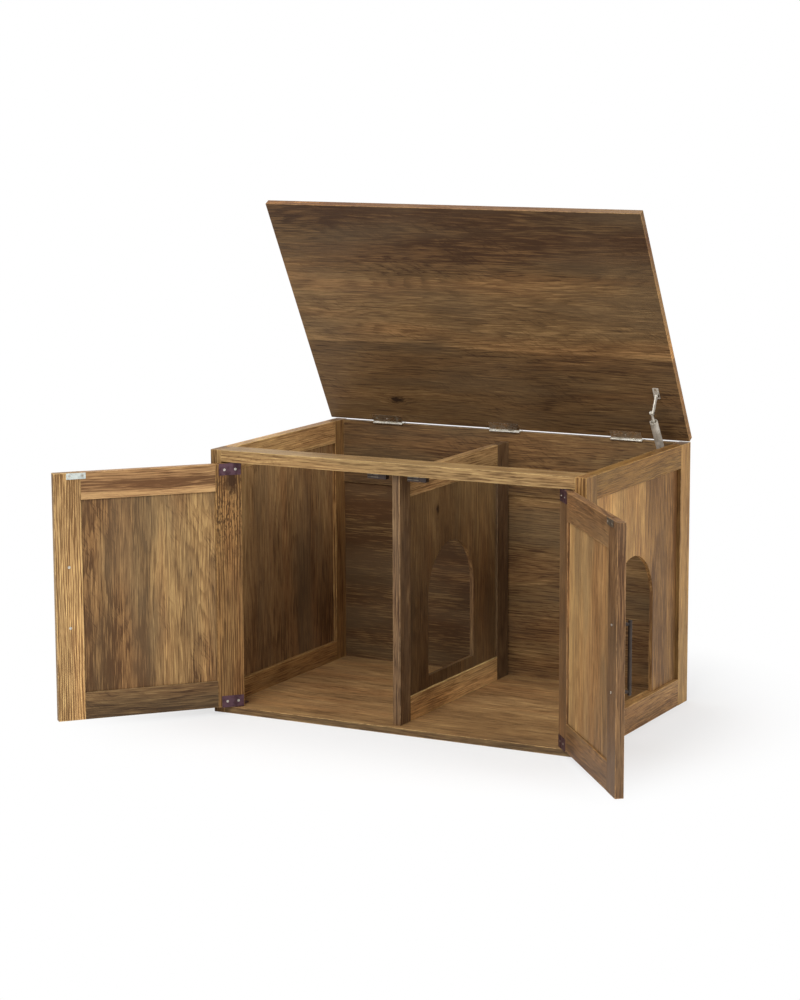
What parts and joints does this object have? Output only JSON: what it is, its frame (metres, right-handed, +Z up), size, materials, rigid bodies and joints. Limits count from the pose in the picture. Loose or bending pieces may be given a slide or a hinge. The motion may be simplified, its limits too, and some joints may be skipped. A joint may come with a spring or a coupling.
{
  "type": "cat litter box cabinet",
  "caption": "Framed wooden cabinet for a litter box, with inset front doors on pivots, a lift-up lid on butt hinges with a stay, and arched entrances in one side and the partition.",
  "frame": {"origin": "centre of the carcass's width and depth, on the ground face", "axes": "+X to the right seen from the front, +Y to the rear, +Z up; the doors are at -Y"},
  "size_m": [1.3389, 0.875, 1.1199],
  "materials": {
    "wood_frame": "rustic brown woodgrain, matt",
    "wood_panel": "rustic brown woodgrain, matt",
    "wood_lid": "rustic brown woodgrain, matt",
    "dowel_wood": "plain beech",
    "bronzed_steel": "dark bronze, satin",
    "nickel_steel": "nickel plated",
    "zinc_steel": "zinc plated",
    "black_metal": "satin black",
    "catch_plastic": "dark brown moulded"
  },
  "bodies": {
    "carcass": {"back_panel": "wood_panel", "back_top_board": "wood_frame", "carcass_dowels": "dowel_wood", "carcass_pivot_leaves": "bronzed_steel", "carcass_screws": "nickel_steel", "catch_housings": "catch_plastic", "catch_pole_plates": "zinc_steel", "floor_board": "wood_frame", "front_top_rail": "wood_frame", "left_side_bottom_rail": "wood_frame", "left_side_front_stile": "wood_frame", "left_side_panel": "wood_panel", "left_side_rear_stile": "wood_frame", "left_side_top_rail": "wood_frame", "lid_hinge_fixed_leaves": "nickel_steel", "lid_hinge_pins": "nickel_steel", "partition_bottom_rail": "wood_frame", "partition_front_stile": "wood_frame", "partition_panel": "wood_panel", "partition_rear_stile": "wood_frame", "partition_top_rail": "wood_frame", "right_side_bottom_rail": "wood_frame", "right_side_front_stile": "wood_frame", "right_side_panel": "wood_panel", "right_side_rear_stile": "wood_frame", "right_side_top_rail": "wood_frame", "stay_side_bracket": "zinc_steel"},
    "lid": {"lid_board": "wood_lid", "lid_screws": "nickel_steel", "lid_hinge_lid_leaves": "nickel_steel", "stay_lid_bracket": "zinc_steel", "stay_lid_rivet": "nickel_steel"},
    "left_door": {"left_door_bottom_rail": "wood_frame", "left_door_free_stile": "wood_frame", "left_door_handle_bar": "black_metal", "left_door_handle_posts": "black_metal", "left_door_handle_screws": "nickel_steel", "left_door_hinge_stile": "wood_frame", "left_door_leaf_screws": "nickel_steel", "left_door_panel": "wood_panel", "left_door_pivot_leaves": "bronzed_steel", "left_door_strike_plate": "zinc_steel", "left_door_top_rail": "wood_frame"},
    "right_door": {"right_door_bottom_rail": "wood_frame", "right_door_free_stile": "wood_frame", "right_door_handle_bar": "black_metal", "right_door_handle_posts": "black_metal", "right_door_handle_screws": "nickel_steel", "right_door_hinge_stile": "wood_frame", "right_door_leaf_screws": "nickel_steel", "right_door_panel": "wood_panel", "right_door_pivot_leaves": "bronzed_steel", "right_door_strike_plate": "zinc_steel", "right_door_top_rail": "wood_frame"},
    "stay_tube": {"stay_tube": "zinc_steel", "stay_rod": "zinc_steel", "stay_elbow_rivet": "nickel_steel"},
    "stay_link": {"stay_link": "zinc_steel"}
  },
  "joints": [
    {"name": "lid_hinge", "type": "hinge", "parent": "carcass", "child": "lid", "pos_m": [0, 0.2671, 0.5877], "axis": [-1, 0, 0], "range_deg": [-60.3, 25]},
    {"name": "left_door_hinge", "type": "hinge", "parent": "carcass", "child": "left_door", "pos_m": [-0.402, -0.276, 0], "axis": [0, 0, -1], "range_deg": [-132, 1.5]},
    {"name": "right_door_hinge", "type": "hinge", "parent": "carcass", "child": "right_door", "pos_m": [0.402, -0.276, 0], "axis": [0, 0, 1], "range_deg": [-129.5, 4]},
    {"name": "stay_tube_pivot", "type": "hinge", "parent": "carcass", "child": "stay_tube", "pos_m": [0.4, 0.2494, 0.5518], "axis": [-1, 0, 0], "range_deg": [-60.8, 25.5]},
    {"name": "stay_link_pivot", "type": "hinge", "parent": "stay_tube", "child": "stay_link", "pos_m": [0.4, 0.17625, 0.66492], "axis": [-1, 0, 0], "range_deg": [-25.5, 60.8]}
  ],
  "couplings": [
    {"joint": "stay_tube_pivot", "follows": "lid_hinge", "ratio": 1},
    {"joint": "stay_link_pivot", "follows": "lid_hinge", "ratio": -1}
  ]
}
